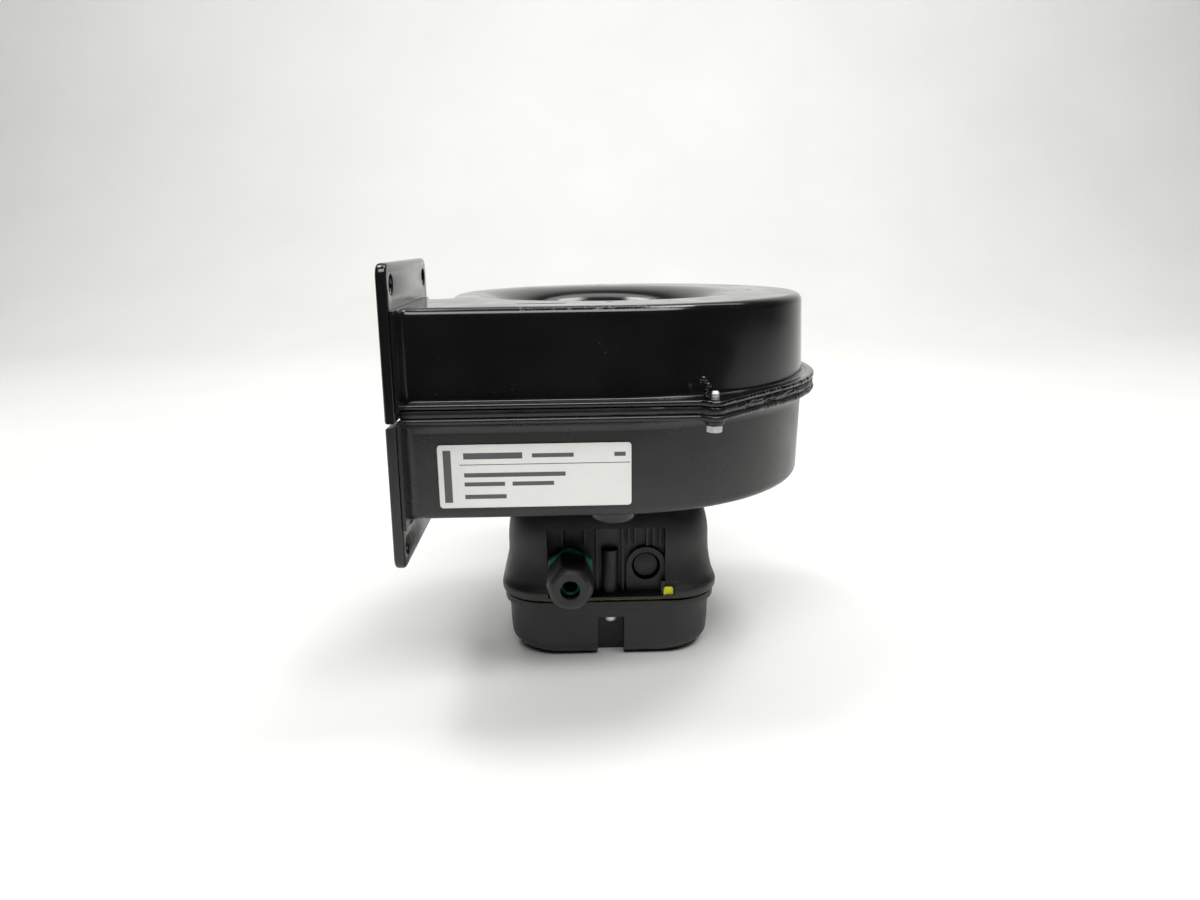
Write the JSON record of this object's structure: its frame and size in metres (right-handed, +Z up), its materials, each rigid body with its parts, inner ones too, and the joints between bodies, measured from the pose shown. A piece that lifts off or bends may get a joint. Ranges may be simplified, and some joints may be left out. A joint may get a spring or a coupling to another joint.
{
  "type": "combustion fan",
  "caption": "Single-inlet centrifugal fan: two-part sheet steel scroll, split outlet flange, forward-curved impeller on an external-rotor motor, and a plastic terminal box below.",
  "frame": {"origin": "where the impeller axis meets the plane that the terminal box stands on", "axes": "+Z up along the impeller axis towards the inlet, -X towards the outlet flange, -Y towards the side with the cable gland and the type plate"},
  "size_m": [0.2208, 0.2278, 0.219],
  "materials": {
    "gloss_black_paint": "gloss powder coat",
    "satin_black_paint": "satin powder coat",
    "black_plastic": "fine moulded texture",
    "teal_plastic": "moulded",
    "yellow_rubber": "smooth",
    "seal_rubber": "matt",
    "zinc_steel": "bright zinc plate",
    "galvanised_steel": "galvanised sheet",
    "cast_aluminium": "die cast",
    "lamination_steel": "stacked laminations",
    "copper_wire": "enamelled",
    "bearing_steel": "ground",
    "label_white": "printed film",
    "capacitor_white": "moulded",
    "terminal_grey": "moulded",
    "lead_blue": "insulation",
    "lead_brown": "insulation",
    "lead_earth": "insulation"
  },
  "bodies": {
    "housing": {"upper_scroll_shell": "gloss_black_paint", "lower_scroll_shell": "satin_black_paint", "seam_gasket": "seal_rubber", "upper_flange_plate": "gloss_black_paint", "lower_flange_plate": "satin_black_paint", "seam_screw_1": "zinc_steel", "seam_screw_2": "zinc_steel", "seam_screw_3": "zinc_steel", "seam_screw_4": "zinc_steel", "type_label": "label_white", "lower_bearing_outer_ring": "bearing_steel", "upper_bearing_outer_ring": "bearing_steel", "stator_core": "lamination_steel", "upper_winding": "copper_wire", "lower_winding": "copper_wire", "stator_carrier": "cast_aluminium", "motor_plate": "satin_black_paint", "plate_screw_1": "zinc_steel", "plate_screw_2": "zinc_steel", "plate_screw_3": "zinc_steel", "plate_screw_4": "zinc_steel", "terminal_box_body": "black_plastic", "terminal_box_cover": "black_plastic", "terminal_box_seal": "yellow_rubber", "cover_screw_front": "zinc_steel", "cover_screw_back": "zinc_steel", "gland_body": "teal_plastic", "gland_seal": "teal_plastic", "gland_nut": "black_plastic", "gland_locknut": "teal_plastic", "blanking_disc": "black_plastic", "capacitor": "capacitor_white", "terminal_block": "terminal_grey", "motor_lead_blue": "lead_blue", "motor_lead_brown": "lead_brown", "motor_lead_earth": "lead_earth"},
    "rotor": {"impeller_back_plate": "galvanised_steel", "impeller_blade_band": "galvanised_steel", "impeller_front_ring": "galvanised_steel", "rotor_can": "satin_black_paint", "rotor_core": "lamination_steel", "motor_shaft": "bearing_steel", "lower_bearing_inner_ring": "bearing_steel", "upper_bearing_inner_ring": "bearing_steel", "shaft_circlip": "zinc_steel"},
    "lower_ball_cage": {"lower_bearing_balls": "bearing_steel"},
    "upper_ball_cage": {"upper_bearing_balls": "bearing_steel"}
  },
  "joints": [
    {"name": "rotor_spin", "type": "hinge", "parent": "housing", "child": "rotor", "pos_m": [0, 0, 0.13], "axis": [0, 0, 1], "continuous": true},
    {"name": "lower_cage_spin", "type": "hinge", "parent": "housing", "child": "lower_ball_cage", "pos_m": [0, 0, 0.105], "axis": [0, 0, 1], "continuous": true},
    {"name": "upper_cage_spin", "type": "hinge", "parent": "housing", "child": "upper_ball_cage", "pos_m": [0, 0, 0.1405], "axis": [0, 0, 1], "continuous": true}
  ],
  "couplings": [
    {"joint": "lower_cage_spin", "follows": "rotor_spin", "ratio": 0.3867},
    {"joint": "upper_cage_spin", "follows": "rotor_spin", "ratio": 0.3867}
  ]
}
